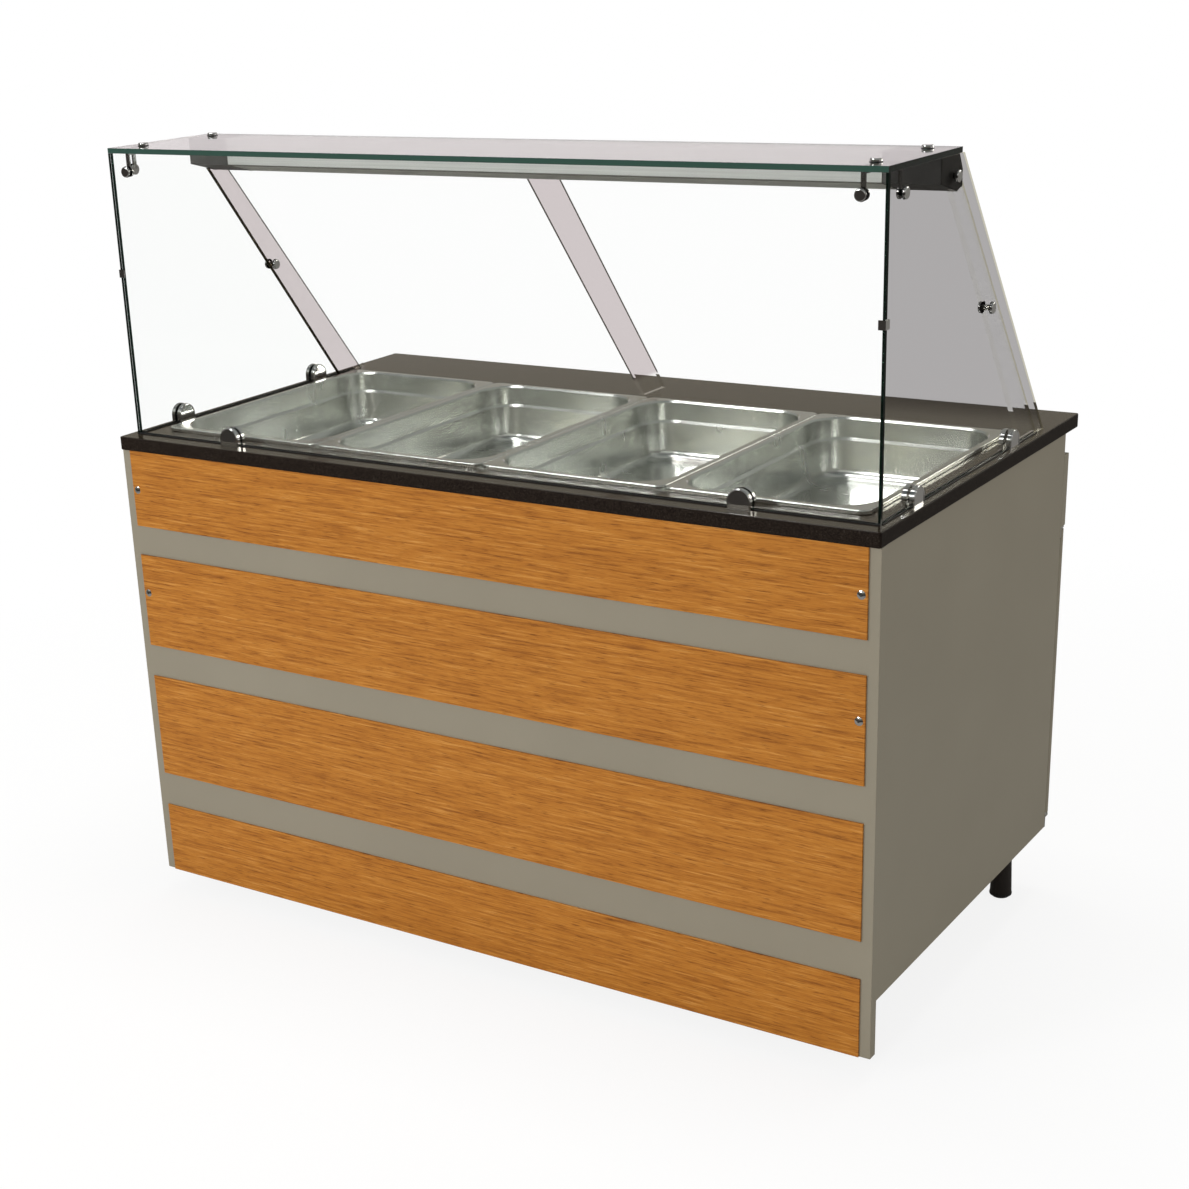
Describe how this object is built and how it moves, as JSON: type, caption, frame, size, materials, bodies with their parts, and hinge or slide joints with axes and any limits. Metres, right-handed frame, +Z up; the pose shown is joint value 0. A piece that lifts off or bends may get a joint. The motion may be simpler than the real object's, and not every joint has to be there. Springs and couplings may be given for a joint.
{
  "type": "hot buffet counter",
  "caption": "Free-standing heated buffet counter: laminate cabinet with rear doors, stone worktop with lift-out pans in a heated well, and a glass guard with overhead lamp.",
  "frame": {"origin": "on the floor under the middle of the worktop", "axes": "+Z up, +X along the counter to the customer's right, -Y towards the customers"},
  "size_m": [1.4, 0.79, 1.3295],
  "materials": {
    "grey_laminate": "matt laminate on board",
    "wood_laminate": "wood-look laminate, fine grain along the length",
    "dark_stone": "polished dark stone",
    "stainless": "bright drawn stainless steel",
    "chrome": "polished chrome",
    "clear_glass": "toughened clear glass, polished green edge",
    "aluminium": "satin anodised aluminium",
    "dark_plastic": "dark moulded plastic",
    "black_plastic": "glossy black plastic",
    "opal_plastic": "opal diffuser",
    "lamp_glass": "coated lamp tube",
    "zinc_steel": "zinc-plated steel",
    "brass": "plated brass",
    "red_plastic": "red translucent plastic",
    "grey_paint": "matt grey powder coat on folded sheet",
    "grey_plastic": "grey moulded plastic"
  },
  "bodies": {
    "counter": {"side_panel_left": "grey_laminate", "side_panel_right": "grey_laminate", "front_board": "grey_laminate", "base_board": "grey_laminate", "centre_upright": "grey_laminate", "rear_top_rail": "grey_laminate", "control_tray": "grey_laminate", "front_plank_1": "wood_laminate", "front_plank_2": "wood_laminate", "front_plank_3": "wood_laminate", "front_plank_4": "wood_laminate", "dome_screws": "chrome", "worktop": "dark_stone", "control_fascia": "grey_paint", "well_tank": "stainless", "pan_support_bars": "stainless", "heating_elements": "zinc_steel", "element_fittings": "brass", "drain_outlet": "stainless", "drain_valve": "brass", "drain_spout": "zinc_steel", "door_pivots": "zinc_steel", "door_catches": "dark_plastic", "thermostat_body": "grey_plastic", "thermostat_probe": "zinc_steel", "switch_frames": "black_plastic", "pilot_lamps": "red_plastic", "terminal_box": "grey_plastic", "cable_gland": "grey_plastic", "front_pane": "clear_glass", "side_pane_left": "clear_glass", "side_pane_right": "clear_glass", "shelf_glass": "clear_glass", "rib_left": "clear_glass", "rib_middle": "clear_glass", "rib_right": "clear_glass", "pane_clamps": "chrome", "shelf_buttons": "chrome", "pane_buttons": "chrome", "corner_brackets": "chrome", "corner_clips": "chrome", "lamp_housing": "aluminium", "lamp_diffuser": "opal_plastic", "lamp_end_caps": "dark_plastic", "lamp_holders": "grey_plastic", "lamp_tube": "lamp_glass", "leg_sockets": "dark_plastic", "feet": "dark_plastic"},
    "food_pan_1": {"food_pan_1": "stainless"},
    "food_pan_2": {"food_pan_2": "stainless"},
    "food_pan_3": {"food_pan_3": "stainless"},
    "food_pan_4": {"food_pan_4": "stainless"},
    "left_door": {"door_left": "grey_laminate", "door_handle_left": "chrome"},
    "right_door": {"door_right": "grey_laminate", "door_handle_right": "chrome"},
    "knob": {"thermostat_knob": "black_plastic"},
    "main_rocker": {"main_switch": "red_plastic"},
    "lamp_rocker": {"lamp_switch": "black_plastic"},
    "valve_lever": {"drain_lever": "red_plastic"}
  },
  "joints": [
    {"name": "pan_1_lift", "type": "slide", "parent": "counter", "child": "food_pan_1", "axis": [0, 0, 1], "range_m": [0, 0.15]},
    {"name": "pan_2_lift", "type": "slide", "parent": "counter", "child": "food_pan_2", "axis": [0, 0, 1], "range_m": [0, 0.03]},
    {"name": "pan_3_lift", "type": "slide", "parent": "counter", "child": "food_pan_3", "axis": [0, 0, 1], "range_m": [0, 0.15]},
    {"name": "pan_4_lift", "type": "slide", "parent": "counter", "child": "food_pan_4", "axis": [0, 0, 1], "range_m": [0, 0.15]},
    {"name": "left_door_hinge", "type": "hinge", "parent": "counter", "child": "left_door", "pos_m": [-0.688, 0.358, 0.4], "axis": [0, 0, 1], "range_deg": [0, 110]},
    {"name": "right_door_hinge", "type": "hinge", "parent": "counter", "child": "right_door", "pos_m": [0.688, 0.358, 0.4], "axis": [0, 0, -1], "range_deg": [0, 110]},
    {"name": "thermostat_turn", "type": "hinge", "parent": "counter", "child": "knob", "pos_m": [-0.367, 0.367, 0.729], "axis": [0, -1, 0], "range_deg": [0, 270]},
    {"name": "main_switch_rock", "type": "hinge", "parent": "counter", "child": "main_rocker", "pos_m": [-0.217, 0.3655, 0.729], "axis": [1, 0, 0], "range_deg": [0, 16]},
    {"name": "lamp_switch_rock", "type": "hinge", "parent": "counter", "child": "lamp_rocker", "pos_m": [-0.172, 0.3655, 0.729], "axis": [1, 0, 0], "range_deg": [0, 16]},
    {"name": "drain_lever_turn", "type": "hinge", "parent": "counter", "child": "valve_lever", "pos_m": [0.51075, 0.16105, 0.623], "axis": [0, 1, 0], "range_deg": [0, 90]}
  ]
}
